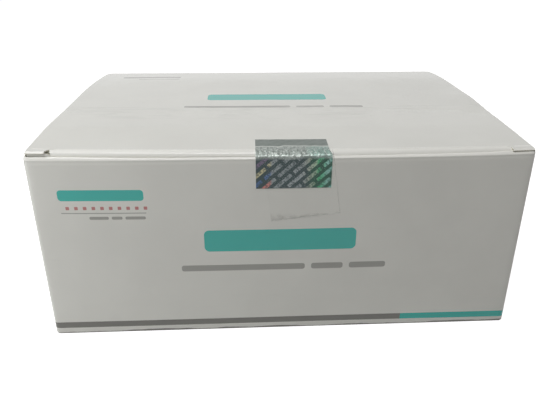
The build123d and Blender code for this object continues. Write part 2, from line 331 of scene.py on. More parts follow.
class Folded:
    """Where every part of the closed carton lies, worked out from the sizes of its blank."""

    def __init__(self, sizes):
        self.sizes = sizes
        self.half_width = carton_high.x - sizes.side_bow
        self.front, self.rear = carton_low.y, carton_high.y
        self.depth = self.rear - self.front
        self.lid_half = self.half_width - sizes.lid_inset
        self.slit_end = self.lid_half - sizes.slit_length
        self.lip_z = sizes.wall_height - sizes.lip_radius * math.sin(sizes.lip_lean)
        lip_reach = sizes.lip_radius - (sizes.lip_radius - sizes.board) * math.cos(sizes.lip_lean)
        self.tuck_face = self.front + lip_reach + sizes.lip_clearance
        self.fold_y = self.tuck_face + sizes.tuck_fold
        self.ridge_y = self.front + sizes.ridge_setback
        self.crown_y = self.rear - sizes.crown_setback
        self.hinge_y = self.rear - sizes.hinge_fold
        self.hinge_z = sizes.wall_height + sizes.hinge_rise
        self.tab_front = self.front + sizes.tab_setback
        self.bend_y = self.fold_y + sizes.tab_bend

    def share(self, x):
        """How far x lies from the lid's left edge to its right one."""
        return (x + self.lid_half) / (2 * self.lid_half)

    def fold_center(self, x):
        """Height of the tuck fold's centre line."""
        sizes = self.sizes
        gap = between(sizes.lid_gap_left, sizes.lid_gap_right, self.share(x))
        return sizes.wall_height + sizes.board + gap - sizes.tuck_fold * math.cos(sizes.facet_tilt)

    def facet_height(self, x, y):
        """Top of the lid's front strip."""
        sizes = self.sizes
        fold_top = self.fold_center(x) + sizes.tuck_fold / math.cos(sizes.facet_tilt)
        return fold_top + (y - self.fold_y) * math.tan(sizes.facet_tilt)

    def creased_height(self, x, y):
        """Top of the lid as three flat strips."""
        sizes = self.sizes
        if y <= self.ridge_y:
            return self.facet_height(x, y)
        ridge = self.facet_height(x, self.ridge_y)
        crown = ridge + between(sizes.crown_rise_left, sizes.crown_rise_right, self.share(x))
        if y <= self.crown_y:
            return between(ridge, crown, (y - self.ridge_y) / (self.crown_y - self.ridge_y))
        return between(crown, self.hinge_z, (y - self.crown_y) / (self.hinge_y - self.crown_y))

    def lid_height(self, x, y):
        """Top of the lid with its creases rounded, its dents and its sprung corners."""
        sizes = self.sizes
        # Creases are rounder at the rear and at the side edges
        rounding = between(1.5 * MM, 9 * MM, smooth(self.ridge_y, self.crown_y, y))
        rounding += 4 * MM * smooth(0.8 * self.lid_half, self.lid_half, abs(x))
        height = sum(self.creased_height(x, y + rounding * i / 3) for i in range(-3, 4)) / 7
        # Dents end before the front fold and the hinge
        held = smooth(self.fold_y, self.fold_y + 12 * MM, y) * smooth(0, 14 * MM, self.hinge_y - y)
        height += held * self.lid_dents(x, y)
        beyond = (abs(x) - self.slit_end) / sizes.slit_length
        if beyond >= 0 and y < self.bend_y:
            height += self.corner_lift(x, y, beyond)
        return height

    def corner_lift(self, x, y, beyond):
        """How far a corner stands over the lid's plane, at this share of the way along its slit."""
        sizes = self.sizes
        free = max(0.0, (self.fold_y - y) / (self.fold_y - self.tab_front))
        rolled = max(0.0, 1 - (y - self.tab_front) / sizes.tab_bevel) ** 1.3
        if x > 0:
            return sizes.tab_lift_right * self.bent(y) * beyond - sizes.tab_roll_right * rolled
        lifted = sizes.tab_lift_left * self.bent(y) * beyond + sizes.tab_curl * (1 - beyond) * free
        return lifted - sizes.tab_roll_left * rolled

    def bent(self, y):
        """How far y lies along the lid's corner, from 0 at its bend to 1 at its cut edge."""
        return max(0.0, (self.bend_y - y) / (self.bend_y - self.tab_front))

    def notch(self, x):
        """Width of the cut at the end of the slit on this side."""
        return self.sizes.slit_notch if x < 0 else self.sizes.closed_notch

    def lid_edge(self, x, y):
        """Moves x in where the left corner is cut back from the lid's side edge."""
        beyond = max(0.0, (-x - self.slit_end) / self.sizes.slit_length)
        return x + self.sizes.tab_relief * beyond * self.bent(y)

    def lip_crease(self, x):
        """Height at which the front wall starts to turn in to its lip."""
        sizes = self.sizes
        return sizes.wall_height - sizes.lip_height + sizes.lip_drop * bell(x, -5 * MM, 52 * MM)

    def lip_crest(self, x):
        """Height of the front lip's upper edge.

        The lid presses it down over the middle and leaves both ends, and the right end springs up.
        """
        sizes, end = self.sizes, self.half_width
        pressed = smooth(-end, -0.4 * end, x) * (1 - smooth(0.75 * end, 0.97 * end, x))
        pressed += 0.3 * bell(x, 0.5 * end, 0.35 * end)
        sprung = smooth(0.88 * end, end, x)
        return sizes.wall_height - sizes.lip_drop * pressed + sizes.lip_spring * sprung

    def front_shift(self, x, z, lean):
        """How far the front wall lies off a plain wall with a round lip: (inwards, up)."""
        sizes, crease = self.sizes, self.lip_crease(x)
        if lean == 0:
            # The last 5 mm under the lip are drawn up or down to its crease
            near = min(max((z - self.lip_z) / (5 * MM) + 1, 0.0), 1.0)
            up = near * (crease - self.lip_z)
            pinched = sizes.lip_pinch * bell(z + up, crease - 0.6 * MM, 0.5 * MM)
            return pinched - self.wall_dents(x, z), up
        share = lean / sizes.lip_lean
        bulge = sizes.lip_bulge * math.sin(math.pi * share)
        to_right = smooth(-60 * MM, 60 * MM, x)
        depth = between(sizes.lip_depth_left, sizes.lip_depth_right, to_right)
        inwards = depth * share - bulge - sizes.lip_radius * (1 - math.cos(lean))
        up = between(crease, self.lip_crest(x), share) + bulge
        return inwards, up - self.lip_z - sizes.lip_radius * math.sin(lean)

    def lid_dents(self, x, y):
        """Waves, wrinkles and pressed places of the lid, upwards."""
        left, right = (smooth(0.8 * self.lid_half, self.lid_half, s * x) for s in (-1, 1))
        raised = ripple(x, y, 0.22 * MM, 16, 22, 0.4) + ripple(x, y, 0.06 * MM, 60, 80, 2.1)
        # Wrinkle behind the front strip, which runs out to the left
        line_y = -20 * MM + 2 * MM * math.sin(x * 40)
        raised -= 0.07 * MM * bell(y, line_y, 1.4 * MM) * smooth(-70 * MM, -30 * MM, x)
        # Swells of both side edges, and a dent of the left one
        raised += 0.7 * MM * right * bell(y, 0, 20 * MM)
        raised += 0.3 * MM * left * bell(y, 20 * MM, 16 * MM)
        raised -= 0.16 * MM * left * bell(y, -18 * MM, 2.5 * MM)
        # Two wrinkles that cross at the right edge
        for slope in (-0.5, 0.6):
            line_y = -25 * MM + slope * (x - 91 * MM)
            raised -= 0.14 * MM * bell(y, line_y, 1.3 * MM) * bell(x, 92 * MM, 9 * MM)
        return raised

    def packed(self, point):
        """Moves a point of the square carton to where the full contents press it."""
        sizes = self.sizes
        across = max(0.0, 1 - (point.x / self.half_width) ** 2)
        up = min(max(point.z / sizes.wall_height, 0.0), 1.0)
        back = (self.rear - point.y) / self.depth
        return Vector((point.x, point.y - sizes.front_bow * across * up * back, point.z))

    def wall_dents(self, x, z):
        """Waves of the front wall and a dent near its left fold, outwards."""
        waves = ripple(x, z, 0.12 * MM, 14, 22, 5.3)
        dent = -0.25 * MM * bell(x, -88 * MM, 4 * MM) * bell(z, 56 * MM, 3.5 * MM)
        held = smooth(0, 8 * MM, z) * smooth(0, 8 * MM, self.lip_z - z)
        held *= smooth(0, 8 * MM, self.half_width - abs(x))
        return held * (waves + dent)


class Sheet:
    """One mesh of grids of quads that share their edges, with how worn its folds are."""

    def __init__(self, shape):
        self.shape = shape
        self.mesh = bmesh.new()
        self.wear = self.mesh.verts.layers.float.new("fold")
        self.flat = self.mesh.verts.layers.float_vector.new("flat")

    def grid(self, rows, wear=None, flat=None):
        """Joins rows of points.

        Wear is one value for each row, from 0 to 1 on a fold. Flat gives each point's place on the
        unrolled film, in millimetres.
        """
        wear = wear or [0.0] * len(rows)
        flat = flat or [[(0.0, 0.0)] * len(row) for row in rows]
        made = []
        for row, folded, spots in zip(rows, wear, flat):
            made.append([])
            for point, spot in zip(row, spots):
                vert = self.mesh.verts.new(self.shape.packed(Vector(point)))
                vert[self.wear] = folded
                vert[self.flat] = (*spot, 0.0)
                made[-1].append(vert)
        for low, high in zip(made, made[1:]):
            for a, b, c, d in zip(low, low[1:], high[1:], high):
                self.mesh.faces.new((a, b, c, d))

    def finish(self, name, thickness, materials):
        """Welds the grids, makes the object with its inner face and cut edges, and returns it."""
        bmesh.ops.remove_doubles(self.mesh, verts=self.mesh.verts[:], dist=0.02 * MM)
        for face in self.mesh.faces:
            face.smooth = True
        for edge in self.mesh.edges:
            edge.smooth = not edge.is_boundary
        data = bpy.data.meshes.new(name)
        self.mesh.to_mesh(data)
        self.mesh.free()
        film = data.uv_layers.new(name="film")
        flat = data.attributes["flat"].data
        for loop, place in zip(data.loops, film.data):
            place.uv = flat[loop.vertex_index].vector[:2]
        made = bpy.data.objects.new(name, data)
        bpy.context.scene.collection.objects.link(made)
        for material in materials:
            data.materials.append(material)
        solid = made.modifiers.new("thickness", "SOLIDIFY")
        solid.thickness = thickness
        solid.offset = -1
        solid.material_offset = min(1, len(materials) - 1)
        solid.material_offset_rim = min(2, len(materials) - 1)
        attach(made, BODY)
        return made


class Outline:
    """The loop of the walls from above, from the glued joint at the rear left round to it."""

    def __init__(self, shape, pitch):
        self.shape = shape
        self.fold = shape.sizes.corner_fold
        self.straight_x = shape.half_width - self.fold
        self.straight_y = shape.rear - self.fold
        self.lid_columns = (
            steps(-shape.lid_half, -shape.slit_end, pitch)[:-1]
            + steps(-shape.slit_end, shape.slit_end, pitch)
            + steps(shape.slit_end, shape.lid_half, pitch)[1:]
        )
        self.along_x = [x * self.straight_x / shape.lid_half for x in self.lid_columns]
        self.along_y = steps(-self.straight_y, self.straight_y, pitch)

    def corner(self, x_side, y_side, start, inset):
        """Points round one upright fold, from the angle start on through a quarter turn."""
        radius = self.fold - inset
        x, y = x_side * self.straight_x, y_side * self.straight_y
        turns = [start + turn for turn in QUARTER_TURN]
        return [(x + radius * math.cos(a), y + radius * math.sin(a)) for a in turns]

    def side(self, side, inset):
        """Points along a side wall, from front to rear."""
        bow = self.shape.sizes.side_bow
        return [
            (side * (self.shape.half_width - inset + bow * (1 - (y / self.straight_y) ** 2)), y)
            for y in self.along_y
        ]

    def front(self, inset):
        """Points along the front wall, from left to right."""
        return [(x, self.shape.front + inset) for x in self.along_x]

    def rear(self, inset):
        """Points along the rear wall, from right to left, up to its cut edge."""
        cut = -self.straight_x + self.shape.sizes.joint_gap
        return [(max(x, cut), self.shape.rear - inset) for x in reversed(self.along_x)]

    def before_rear(self, inset):
        """From the rear left fold by the left side, front and right side to the rear right fold."""
        half = math.pi / 2
        return (
            self.corner(-1, 1, half, inset)[:-1]
            + list(reversed(self.side(-1, inset)))
            + self.corner(-1, -1, 2 * half, inset)[1:-1]
            + self.front(inset)
            + self.corner(1, -1, 3 * half, inset)[1:-1]
            + self.side(1, inset)
            + self.corner(1, 1, 0, inset)[1:]
        )


def at_height(points, z):
    """These points of the plan, at one height."""
    return [(x, y, z) for x, y in points]


def node(tree, kind, inputs=None, **settings):
    """Adds a node. Each input is a value or another node's socket."""
    made = tree.nodes.new(kind)
    for key, value in settings.items():
        setattr(made, key, value)
    for key, value in (inputs or {}).items():
        if isinstance(value, bpy.types.NodeSocket):
            tree.links.new(value, made.inputs[key])
        else:
            made.inputs[key].default_value = value
    return made


def sums(tree, operation, first, *others):
    """The result of a Math operation over these values, from left to right."""
    for other in others or [None]:
        values = {0: first} if other is None else {0: first, 1: other}
        first = node(tree, "ShaderNodeMath", values, operation=operation).outputs[0]
    return first


def product(tree, *values):
    """These values multiplied."""
    return sums(tree, "MULTIPLY", *values)


def vector_sums(tree, operation, *values):
    """The vector that a Vector Math node gives."""
    inputs = dict(enumerate(values))
    return node(tree, "ShaderNodeVectorMath", inputs, operation=operation).outputs[0]


def speckle(tree, place, scale, detail=4.0, roughness=0.55):
    """Even noise from 0 to 1, with this many features for each unit of the place."""
    inputs = {"Vector": place, "Scale": scale, "Detail": detail, "Roughness": roughness}
    return node(tree, "ShaderNodeTexNoise", inputs).outputs["Fac"]


def ranged(tree, value, low, high, to_low=0.0, to_high=1.0):
    """The value from low to high, turned smoothly into to_low to to_high."""
    inputs = {
        "Value": value, "From Min": low, "From Max": high, "To Min": to_low, "To Max": to_high,
    }
    made = node(tree, "ShaderNodeMapRange", inputs, interpolation_type="SMOOTHSTEP")
    return made.outputs["Result"]


def stretched(tree, place, scales):
    """This place with each axis scaled."""
    return vector_sums(tree, "MULTIPLY", place, scales)


def blended(tree, share, first, second):
    """Two colours mixed by a share."""
    made = node(tree, "ShaderNodeMix", data_type="RGBA", clamp_factor=True)
    colours = [s for s in made.inputs if s.type == "RGBA"]
    for socket, value in zip([made.inputs["Factor"], *colours], (share, first, second)):
        if isinstance(value, bpy.types.NodeSocket):
            tree.links.new(value, socket)
        else:
            socket.default_value = (*value, 1.0)
    return next(s for s in made.outputs if s.type == "RGBA")


def new_material(name):
    """An empty node material and its tree."""
    material = bpy.data.materials.new(name)
    material.use_nodes = True
    material.node_tree.nodes.clear()
    return material, material.node_tree


def surfaced(tree, height, strength, distance, inputs):
    """Ends the tree in a Principled shader with a bump."""
    bump = node(
        tree, "ShaderNodeBump", {"Height": height, "Strength": strength, "Distance": distance}
    )
    shader = node(tree, "ShaderNodeBsdfPrincipled", {**inputs, "Normal": bump.outputs["Normal"]})
    node(tree, "ShaderNodeOutputMaterial", {"Surface": shader.outputs["BSDF"]})
    return shader


def scaled(colour, share):
    """This share of a colour, no brighter than white."""
    return [min(1.0, share * v) for v in colour]


def bar_group():
    """A node group that gives 1 inside a bar with round corners and 0 outside it."""
    group = bpy.data.node_groups.new("printed_bar", "ShaderNodeTree")
    kinds = {"Place": "Vector", "Middle": "Vector", "Half": "Vector", "Radius": "Float"}
    for name, kind in kinds.items():
        group.interface.new_socket(name, in_out="INPUT", socket_type="NodeSocket" + kind)
    group.interface.new_socket("Ink", in_out="OUTPUT", socket_type="NodeSocketFloat")
    given = node(group, "NodeGroupInput").outputs
    away = vector_sums(group, "SUBTRACT", given["Place"], given["Middle"])
    past = vector_sums(group, "SUBTRACT", vector_sums(group, "ABSOLUTE", away), given["Half"])
    past = vector_sums(group, "MAXIMUM", past, (0.0, 0.0, 0.0))
    length = node(group, "ShaderNodeVectorMath", {0: past}, operation="LENGTH").outputs["Value"]
    edge = sums(group, "SUBTRACT", length, given["Radius"])
    node(group, "NodeGroupOutput", {"Ink": ranged(group, edge, -0.04, 0.04, 1.0, 0.0)})
    return group


def printed(tree, group, place, bars):
    """One mask for a list of bars."""
    masks = []
    for left, right, low, high, radius in bars:
        bar = node(tree, "ShaderNodeGroup", node_tree=group)
        tree.links.new(place, bar.inputs["Place"])
        bar.inputs["Middle"].default_value = ((left + right) / 2, (low + high) / 2, 0)
        bar.inputs["Half"].default_value = (
            (right - left) / 2 - radius, (high - low) / 2 - radius, 1.0,
        )
        bar.inputs["Radius"].default_value = radius
        masks.append(bar.outputs["Ink"])
    return sums(tree, "MAXIMUM", *masks) if len(masks) > 1 else masks[0]


def with_print(tree, colour, inks, in_mm, front_side, top_side):
    """The colour with the bars printed over it, on the front wall and on the lid."""
    group = bar_group()
    on_front = node(tree, "ShaderNodeCombineXYZ", {"X": in_mm["X"], "Y": in_mm["Z"]}).outputs[0]
    on_lid = node(tree, "ShaderNodeCombineXYZ", {"X": in_mm["X"], "Y": in_mm["Y"]}).outputs[0]
    for ink, (strength, front_bars, lid_bars) in PRINTED_BARS.items():
        mask = product(tree, printed(tree, group, on_front, front_bars), front_side)
        if lid_bars:
            on_top = product(tree, printed(tree, group, on_lid, lid_bars), top_side)
            mask = sums(tree, "MAXIMUM", mask, on_top)
        colour = blended(tree, product(tree, mask, strength), colour, tuple(getattr(inks, ink)))
    return colour


def with_foot_band(tree, colour, inks, axes, whole):
    """The colour with the band round the foot over it, where the coating is whole."""
    right_end = carton_high.x - 2 * MM
    slipped = ranged(tree, axes["X"], 0.5 * inks.band_change, right_end, 0.0, inks.band_slip)
    height_up = sums(tree, "ADD", axes["Z"], slipped)
    above = sums(tree, "GREATER_THAN", height_up, inks.band_low)
    top_up = sums(tree, "SUBTRACT", height_up, product(tree, slipped, 0.3))
    below = sums(tree, "LESS_THAN", top_up, inks.band_high)
    at_right = sums(tree, "GREATER_THAN", axes["X"], inks.band_change)
    ink = blended(tree, at_right, tuple(inks.grey), tuple(inks.teal))
    return blended(tree, product(tree, above, below, whole), colour, ink)


def lid_wrinkles(tree, place, behind, top_side, cloud):
    """1 on the fine wrinkles of the lid, which lie in patches behind its front strip; it gives
    their bump and their painted shade.
    """
    drawn = speckle(tree, stretched(tree, place, (22.0, 170.0, 40.0)), 1.0, 2.0)
    off_line = sums(tree, "ABSOLUTE", sums(tree, "SUBTRACT", drawn, 0.5))
    line = ranged(tree, off_line, 0.0, 0.09, 1.0, 0.0)
    start = ranged(tree, behind, -36.0, -31.0)
    end = ranged(tree, behind, -15.0, -11.0, 1.0, 0.0)
    return product(tree, line, top_side, start, end, ranged(tree, cloud, 0.42, 0.6))


def coated_board(sizes, inks):
    """White coated carton board with its print. It is worn along the folds, where the worn coating
    is whitened past the board's own white as a painted highlight. It has painted shade in the lid's
    wrinkles and a dark foot that is partly soil and partly painted contact shadow.
    """
    material, tree = new_material("coated_board")
    place = node(tree, "ShaderNodeTexCoord").outputs["Object"]
    axes = node(tree, "ShaderNodeSeparateXYZ", {"Vector": place}).outputs
    in_mm = stretched(tree, place, (1 / MM, 1 / MM, 1 / MM))
    in_mm = node(tree, "ShaderNodeSeparateXYZ", {"Vector": in_mm}).outputs
    front_side = sums(tree, "LESS_THAN", axes["Y"], carton_low.y + 4 * MM)
    top_side = sums(tree, "GREATER_THAN", axes["Z"], sizes.wall_height)
    fold = node(tree, "ShaderNodeAttribute", attribute_name="fold").outputs["Fac"]
    cloud = speckle(tree, place, 28.0)
    grain = speckle(tree, place, 900.0, 6.0)
    streaks = speckle(tree, stretched(tree, place, (30.0, 90.0, 260.0)), 1.0, 5.0, 0.7)
    wrinkled = lid_wrinkles(tree, place, in_mm["Y"], top_side, cloud)
    # Ink and coating crack off where the board is folded, and the same mask carries the painted
    # highlight on the lip, the tuck fold and the corners' cut edges
    cracked_and_highlit = product(tree, fold, sums(tree, "ADD", grain, 0.5))
    cracked_and_highlit = ranged(tree, cracked_and_highlit, 0.35, 0.7)
    whole = sums(tree, "SUBTRACT", 1.0, cracked_and_highlit)

    white = tuple(sizes.board_white)
    colour = blended(tree, ranged(tree, cloud, 0.3, 0.7), white, scaled(white, 0.955))
    streaked = ranged(tree, streaks, 0.62, 0.8, 0.0, 0.25)
    colour = blended(tree, streaked, colour, scaled(white, 0.86))
    colour = with_print(tree, colour, inks, in_mm, front_side, top_side)
    colour = with_foot_band(tree, colour, inks, axes, whole)
    # Cracked places turn whiter than the board's own white: wear, and a painted highlight
    colour = blended(tree, product(tree, cracked_and_highlit, 0.95), colour, scaled(white, 1.19))
    # Dark band along the foot: partly soil, partly a painted contact shadow under the carton
    soil_and_shade_top = ranged(tree, speckle(tree, place, 45.0, 4.0), 0.3, 0.7, 0.9 * MM, 1.7 * MM)
    soiled_and_shaded = sums(tree, "LESS_THAN", axes["Z"], soil_and_shade_top)
    colour = blended(tree, product(tree, soiled_and_shaded, 0.85), colour, (0.08, 0.07, 0.06))
    # Painted shade in the lid's fine wrinkles
    colour = blended(tree, product(tree, wrinkled, 0.55), colour, scaled(white, 0.86))

    rough = ranged(tree, speckle(tree, place, 55.0, 6.0), 0.3, 0.7, 0.36, 0.46)
    rough_streaks = ranged(tree, streaks, 0.6, 0.8, 0.0, 0.1)
    rough = sums(tree, "ADD", rough, product(tree, cracked_and_highlit, 0.2), rough_streaks)
    waves = speckle(tree, place, 120.0, 3.0)
    height = sums(
        tree, "ADD", product(tree, grain, 0.25), waves, product(tree, fold, grain, 1.5),
        product(tree, wrinkled, -8.0),
    )
    surfaced(
        tree, height, 0.35, 0.06 * MM,
        {
            "Base Color": colour, "Roughness": rough, "Specular IOR Level": 0.0,
            "Coat Weight": 0.95, "Coat Roughness": 0.2,
        },
    )
    return material


def fibre_board(name, base):
    """Uncoated board: grey fibres, flecks and a rough face."""
    material, tree = new_material(name)
    place = node(tree, "ShaderNodeTexCoord").outputs["Object"]
    fibres = speckle(tree, stretched(tree, place, (1.0, 1.6, 5.0)), 700.0, 6.0, 0.7)
    flecks = ranged(tree, speckle(tree, place, 2200.0, 2.0), 0.66, 0.74, 0.0, 0.6)
    base = tuple(base)
    colour = blended(tree, ranged(tree, fibres, 0.3, 0.7), scaled(base, 0.8), base)
    colour = blended(tree, flecks, colour, scaled(base, 0.5))
    rough = ranged(tree, fibres, 0.2, 0.8, 0.8, 0.95)
    surfaced(tree, fibres, 0.6, 0.08 * MM, {"Base Color": colour, "Roughness": rough})
    return material


def ramped(tree, value, stops, interpolation="LINEAR"):
    """A colour ramp over the value, from its colours, each with its place from 0 to 1."""
    made = node(tree, "ShaderNodeValToRGB", {"Fac": value})
    made.color_ramp.interpolation = interpolation
    ramp = made.color_ramp.elements
    while len(ramp) < len(stops):
        ramp.new(0.5)
    for stop, (at, tone) in zip(ramp, stops):
        stop.position = at
        stop.color = (*tone, 1.0)
    return made.outputs["Color"]


def slanted_dashes(tree, flat, across):
    """The seal's slanted rows of dashes: (mask, their colours)."""
    turned = node(
        tree, "ShaderNodeMapping",
        {"Vector": flat, "Location": (0, DASH_START, 0), "Rotation": (0, 0, math.radians(-42))},
    ).outputs[0]
    dashes = node(
        tree, "ShaderNodeTexBrick",
        {
            "Vector": turned, "Color1": (1, 1, 1, 1), "Color2": (0.7, 0.7, 0.7, 1),
            "Mortar": (0, 0, 0, 1), "Scale": 1.0, "Mortar Size": 0.8, "Mortar Smooth": 0.2,
            "Brick Width": 10.2, "Row Height": DASH_ROW,
        },
        offset=0.45,
    ).outputs["Color"]
    ticks = speckle(tree, stretched(tree, turned, (1.4, 0.8, 1.0)), 1.0, 1.0, 0.7)
    dashes = product(tree, dashes, ranged(tree, ticks, 0.42, 0.52, 0.3, 1.0))
    right_hues = ramped(tree, ranged(tree, across, 17.0, 29.6), RIGHT_HUES)
    down = node(tree, "ShaderNodeSeparateXYZ", {"Vector": turned}).outputs["Y"]
    row = sums(tree, "FLOOR", sums(tree, "DIVIDE", down, -DASH_ROW))
    left_hues = ramped(tree, sums(tree, "DIVIDE", row, 4.0), LEFT_HUES, "CONSTANT")
    at_left = ranged(tree, across, 5.2, 6.4, 1.0, 0.0)
    return dashes, blended(tree, at_left, right_hues, left_hues)


def seal_foil(films):
    """Dark holographic foil, with slanted dashes on the front wall, a painted reflection over the
    lid, and painted highlights and glints where it turns over the fold.

    The film's place runs from its left edge and up from the lip's crest, in millimetres.
    """
    material, tree = new_material("seal_foil")
    flat = node(tree, "ShaderNodeUVMap", uv_map="film").outputs["UV"]
    film = node(tree, "ShaderNodeSeparateXYZ", {"Vector": flat}).outputs
    place = node(tree, "ShaderNodeTexCoord").outputs["Object"]
    crumple = speckle(tree, stretched(tree, place, (1.0, 1.0, 0.6)), 260.0, 5.0, 0.6)

    on_wall = ranged(tree, film["Y"], -1.9, -0.2, 1.0, 0.0)
    sway = ranged(tree, speckle(tree, flat, 0.12, 1.0), 0.3, 0.7, -0.6, 0.6)
    up = sums(tree, "ADD", film["Y"], sway)
    on_fold = ranged(tree, up, -1.5, 0.4)
    on_fold = product(tree, on_fold, ranged(tree, up, 6.4, 7.0, 1.0, 0.0))
    # Thin painted highlight along the top of the fold band
    edge_highlight = ranged(tree, up, 6.1, 6.5)
    edge_highlight = product(tree, edge_highlight, ranged(tree, up, 6.8, 7.2, 1.0, 0.0))
    to_right = ranged(tree, film["X"], 19.0, 23.0)
    # One foil, painted lit grey over the lid and shaded dark on the wall as a painted reflection of
    # the bright surroundings; the dashes show only on the wall
    ground = blended(tree, to_right, tuple(films.foil_shaded_dark), (0.03, 0.07, 0.052))
    colour = blended(tree, on_wall, tuple(films.foil_lit_grey), ground)
    dashes, hues = slanted_dashes(tree, flat, film["X"])
    colour = blended(tree, product(tree, dashes, on_wall), colour, hues)

    # Painted sheen, glints and a bright line where the foil turns over the fold: painted highlights
    pale_sheen = blended(tree, to_right, (0.25, 0.28, 0.26), (0.21, 0.29, 0.26))
    colour = blended(tree, on_fold, colour, pale_sheen)
    glints = ranged(tree, speckle(tree, flat, 1.3, 3.0, 0.6), 0.52, 0.64, 0.0, 0.7)
    colour = blended(tree, product(tree, on_fold, glints), colour, (0.6, 0.63, 0.6))
    creases = speckle(tree, stretched(tree, flat, (1.1, 0.7, 1.0)), 1.0, 4.0)
    creases = ranged(tree, creases, 0.38, 0.46, 0.8, 0.0)
    colour = blended(tree, product(tree, on_fold, creases), colour, (0.13, 0.15, 0.14))
    colour = blended(tree, product(tree, edge_highlight, 0.7), colour, (0.6, 0.62, 0.58))

    rough = ranged(tree, crumple, 0.3, 0.7, 0.3, 0.42)
    rough = sums(tree, "ADD", rough, product(tree, dashes, 0.1))
    height = product(tree, crumple, ranged(tree, on_fold, 0.0, 1.0, 0.25, 1.0))
    height = sums(tree, "ADD", height, product(tree, dashes, 0.12))
    inputs = {"Base Color": colour, "Roughness": rough, "Metallic": 0.75}
    surfaced(tree, height, 0.5, 0.2 * MM, inputs)
    return material


def tape_film(films):
    """Clear glossy tape, darker and less clear along its right edge and at its tear."""
    material, tree = new_material("tape_film")
    place = node(tree, "ShaderNodeTexCoord").outputs["Object"]
    torn = node(tree, "ShaderNodeAttribute", attribute_name="fold").outputs["Fac"]
    flat = node(tree, "ShaderNodeUVMap", uv_map="film").outputs["UV"]
    across = node(tree, "ShaderNodeSeparateXYZ", {"Vector": flat}).outputs["X"]
    half = films.tape_width / 2 / MM
    edge = sums(tree, "MAXIMUM", torn, ranged(tree, across, half - 0.4, half - 0.1, 0.0, 0.8))
    waves = speckle(tree, stretched(tree, place, (1.0, 1.0, 0.4)), 150.0, 3.0)
    edge_patches = ranged(tree, speckle(tree, place, 500.0, 4.0), 0.3, 0.7, 0.5, 1.0)
    # Darker, less clear strip along the right edge and the torn end, patchy along them
    edge_darkening = product(tree, edge, edge_patches)
    tint = tuple(films.tape_tint)
    inputs = {
        "Base Color": blended(tree, edge_darkening, tint, scaled(tint, 0.35)),
        "Roughness": ranged(tree, waves, 0.3, 0.7, 0.1, 0.2),
        "Alpha": ranged(tree, edge_darkening, 0.0, 1.0, 0.01, 0.16),
        "Specular IOR Level": 0.5,
    }
    surfaced(tree, waves, 0.25, 0.1 * MM, inputs)
    return material


def seen_rays(tree):
    """1 for rays that show a thing to the camera, by gloss or through film too, else 0."""
    rays = node(tree, "ShaderNodeLightPath").outputs
    kinds = [rays[f"Is {kind} Ray"] for kind in ("Camera", "Glossy", "Transmission")]
    return sums(tree, "MAXIMUM", *kinds)


def floor_material(stage):
    """Pale floor that keeps the carton's shadow and shows white around it."""
    material, tree = new_material("studio_floor")
    place = node(tree, "ShaderNodeTexCoord").outputs["Object"]
    white = tuple(stage.floor_white)
    colour = blended(tree, speckle(tree, place, 40.0, 5.0), white, scaled(white, 0.985))
    glow = node(
        tree, "ShaderNodeEmission",
        {"Color": (1, 1, 1, 1), "Strength": product(tree, seen_rays(tree), stage.floor_glow)},
    )
    matte = node(tree, "ShaderNodeBsdfDiffuse", {"Color": colour, "Roughness": 0.5})
    both = node(tree, "ShaderNodeAddShader", {0: matte.outputs[0], 1: glow.outputs[0]})
    node(tree, "ShaderNodeOutputMaterial", {"Surface": both.outputs[0]})
    return material


def sky_world(stage):
    """Even light all round, warmer from the right, that shows white to the camera."""
    world = bpy.data.worlds.new("studio")
    world.use_nodes = True
    tree = world.node_tree
    tree.nodes.clear()
    place = node(tree, "ShaderNodeTexCoord").outputs["Generated"]
    way = node(tree, "ShaderNodeSeparateXYZ", {"Vector": place}).outputs["X"]
    left, right = (scaled(tone, stage.sky) for tone in (stage.sky_left, stage.sky_right))
    tint = blended(tree, ranged(tree, way, -0.6, 0.6), left, right)
    tint = blended(tree, seen_rays(tree), tint, (1.0, 1.0, 1.0))
    light = node(tree, "ShaderNodeBackground", {"Color": tint})
    node(tree, "ShaderNodeOutputWorld", {"Surface": light.outputs[0]})
    return world


def fold_walls(sheet, outline):
    """The four walls, the lip of the front wall, the glue flap and the folds under the box."""
    shape, sizes = sheet.shape, sheet.shape.sizes
    insets = [sizes.bottom_fold * (1 - math.cos(a)) for a in reversed(QUARTER_TURN)]
    heights = [sizes.bottom_fold * (1 - math.sin(a)) for a in reversed(QUARTER_TURN)]
    near_lip = shape.lip_z - 3 * MM
    walls = steps(sizes.bottom_fold, near_lip, 2.6 * MM)[1:]
    walls += steps(near_lip, shape.lip_z, 0.4 * MM)[1:]
    insets += [0.0] * len(walls)
    heights += walls
    wear = [bell(z, 0, 1.2 * MM) for z in heights]
    leans = steps(0, sizes.lip_lean, math.radians(7))[1:]
    lip_insets = [sizes.lip_radius * (1 - math.cos(a)) for a in leans]
    lip_heights = [shape.lip_z + sizes.lip_radius * math.sin(a) for a in leans]

    def loop(inset, z, lean):
        points = []
        for x, y in outline.before_rear(inset):
            facing = smooth(0, sizes.corner_fold / 2, shape.front + sizes.corner_fold - y)
            inwards, up = shape.front_shift(x, z, lean)
            points.append((x, y + facing * inwards, z + facing * up))
        return points

    rows = [loop(inset, z, 0.0) for inset, z in zip(insets, heights)]
    rows += [loop(*row) for row in zip(lip_insets, lip_heights, leans)]
    # The lip's wear whitens it, which is also a painted highlight along its crest
    sheet.grid(rows, wear + [WEAR_AND_HIGHLIGHT["lip"]] * len(leans))
    sheet.grid([at_height(outline.rear(i), z) for i, z in zip(insets, heights)], wear)

    # Glue flap, one board behind the rear wall's cut edge
    start, end = -outline.straight_x, 15 * MM - outline.straight_x
    behind = shape.rear - sizes.board - 0.1 * MM
    flap = [(start, shape.rear), (start + 0.5 * MM, between(shape.rear, behind, 0.5))]
    flap += [(start + 1.2 * MM, behind)]
    flap += [(x, behind) for x in steps(start + 2 * MM, end, 2.5 * MM)]
    sheet.grid([at_height(reversed(flap), z) for z in [sizes.bottom_fold] + walls])


